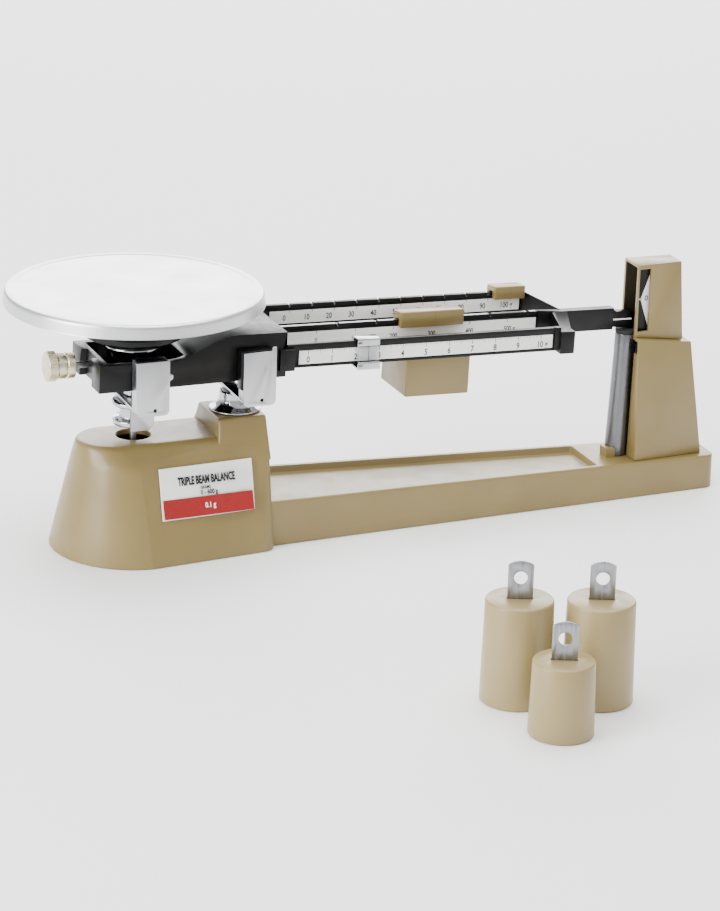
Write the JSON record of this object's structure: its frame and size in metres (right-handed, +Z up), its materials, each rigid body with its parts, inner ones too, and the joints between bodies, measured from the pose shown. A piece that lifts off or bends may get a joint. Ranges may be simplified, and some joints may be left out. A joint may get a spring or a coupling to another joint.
{
  "type": "triple beam balance",
  "caption": "Triple-beam balance: enamelled cast base, round steel pan, notched black beams with sliding poises, index post and loose attachment weights.",
  "frame": {"origin": "middle of the base casting's underside, on the surface the balance stands on", "axes": "+X along the beams towards the index post, -Y towards the user, +Z up"},
  "size_m": [0.4495, 0.4258, 0.1549],
  "materials": {
    "enamel": "semi-gloss tan enamel",
    "black_paint": "satin black",
    "chrome": "bright plating",
    "steel": "satin",
    "brass": "nickel-plated brass, worn",
    "white_paint": "matt white with printed marks",
    "rubber": "matt",
    "magnet": "bare sintered",
    "clear": "clear acrylic"
  },
  "bodies": {
    "base": {"base_casting": "enamel", "bottom_cover": "steel", "cover_screw_1": "steel", "cover_screw_2": "steel", "cover_screw_3": "steel", "front_label": "white_paint", "fulcrum_column": "chrome", "column_stud": "steel", "fulcrum_bridge": "chrome", "fulcrum_plate_front": "chrome", "fulcrum_plate_rear": "chrome", "fulcrum_bearing_front": "black_paint", "fulcrum_bearing_rear": "black_paint", "post_lower_cover": "enamel", "post_upper_cover": "enamel", "index_plate": "white_paint", "beam_rest": "steel", "rest_cap": "rubber", "magnet_bracket": "steel", "magnet_front": "magnet", "magnet_rear": "magnet"},
    "beam": {"beam_casting": "black_paint", "rear_beam": "black_paint", "middle_beam": "black_paint", "front_beam": "black_paint", "rear_scale": "white_paint", "middle_scale": "white_paint", "front_scale": "white_paint", "end_spider": "black_paint", "damping_vane": "steel", "zero_stud": "steel", "fulcrum_knife_front": "steel", "fulcrum_knife_rear": "steel", "load_knife_front": "steel", "load_knife_rear": "steel"},
    "knob_nut": {"zero_washer": "steel"},
    "knob": {"zero_knob": "brass"},
    "rear_slider": {"rear_poise": "enamel"},
    "middle_slider": {"middle_poise_saddle": "enamel", "middle_poise_hanger": "steel", "middle_poise_block": "enamel"},
    "front_slider": {"front_rider": "chrome", "rider_window": "clear"},
    "pan_support": {"load_bridge": "chrome", "pan_spool": "chrome", "pan_cup": "chrome", "pan_hub": "black_paint", "check_rod": "steel", "load_plate_front": "chrome", "load_plate_rear": "chrome", "load_bearing_front": "black_paint", "load_bearing_rear": "black_paint"},
    "pan": {"pan": "steel"},
    "link": {"check_link": "steel"},
    "loose_weight_left": {"weight_left": "enamel", "weight_tab_left": "steel"},
    "loose_weight_right": {"weight_right": "enamel", "weight_tab_right": "steel"},
    "loose_weight_front": {"weight_front": "enamel", "weight_tab_front": "steel"}
  },
  "joints": [
    {"name": "beam_tilt", "type": "hinge", "parent": "base", "child": "beam", "pos_m": [-0.0995, 0, 0.108], "axis": [0, 1, 0], "range_deg": [-4, 0]},
    {"name": "pan_hang", "type": "hinge", "parent": "beam", "child": "pan_support", "pos_m": [-0.1625, 0, 0.10978], "axis": [0, 1, 0], "range_deg": [0, 4]},
    {"name": "link_swing", "type": "hinge", "parent": "base", "child": "link", "pos_m": [-0.0995, 0, 0.036], "axis": [0, 1, 0], "range_deg": [-4, 0]},
    {"name": "pan_lift", "type": "slide", "parent": "pan_support", "child": "pan", "axis": [0, 0, 1], "range_m": [0, 0.03]},
    {"name": "zero_turn", "type": "hinge", "parent": "knob_nut", "child": "knob", "pos_m": [-0.19143, 0, 0.1116], "axis": [0.9996, 0, -0.0283], "range_deg": [-725, 725]},
    {"name": "zero_travel", "type": "slide", "parent": "beam", "child": "knob_nut", "axis": [0.9996, 0, -0.0283], "range_m": [-0.002, 0.002]},
    {"name": "rear_poise_slide", "type": "slide", "parent": "beam", "child": "rear_slider", "axis": [0.9996, 0, -0.0283], "range_m": [-0.1432, 0]},
    {"name": "middle_poise_slide", "type": "slide", "parent": "beam", "child": "middle_slider", "axis": [0.9996, 0, -0.0283], "range_m": [-0.0741, 0.0494]},
    {"name": "front_rider_slide", "type": "slide", "parent": "beam", "child": "front_slider", "axis": [0.9996, 0, -0.0283], "range_m": [-0.0365, 0.1125]},
    {"name": "weight_left_lift", "type": "slide", "parent": "base", "child": "loose_weight_left", "axis": [0, 0, 1], "range_m": [0, 0.05]},
    {"name": "weight_right_lift", "type": "slide", "parent": "base", "child": "loose_weight_right", "axis": [0, 0, 1], "range_m": [0, 0.05]},
    {"name": "weight_front_lift", "type": "slide", "parent": "base", "child": "loose_weight_front", "axis": [0, 0, 1], "range_m": [0, 0.05]}
  ],
  "couplings": [
    {"joint": "pan_hang", "follows": "beam_tilt", "ratio": -1},
    {"joint": "link_swing", "follows": "beam_tilt", "ratio": 1},
    {"joint": "zero_turn", "follows": "zero_travel", "rad_per_m": 6283.2}
  ]
}
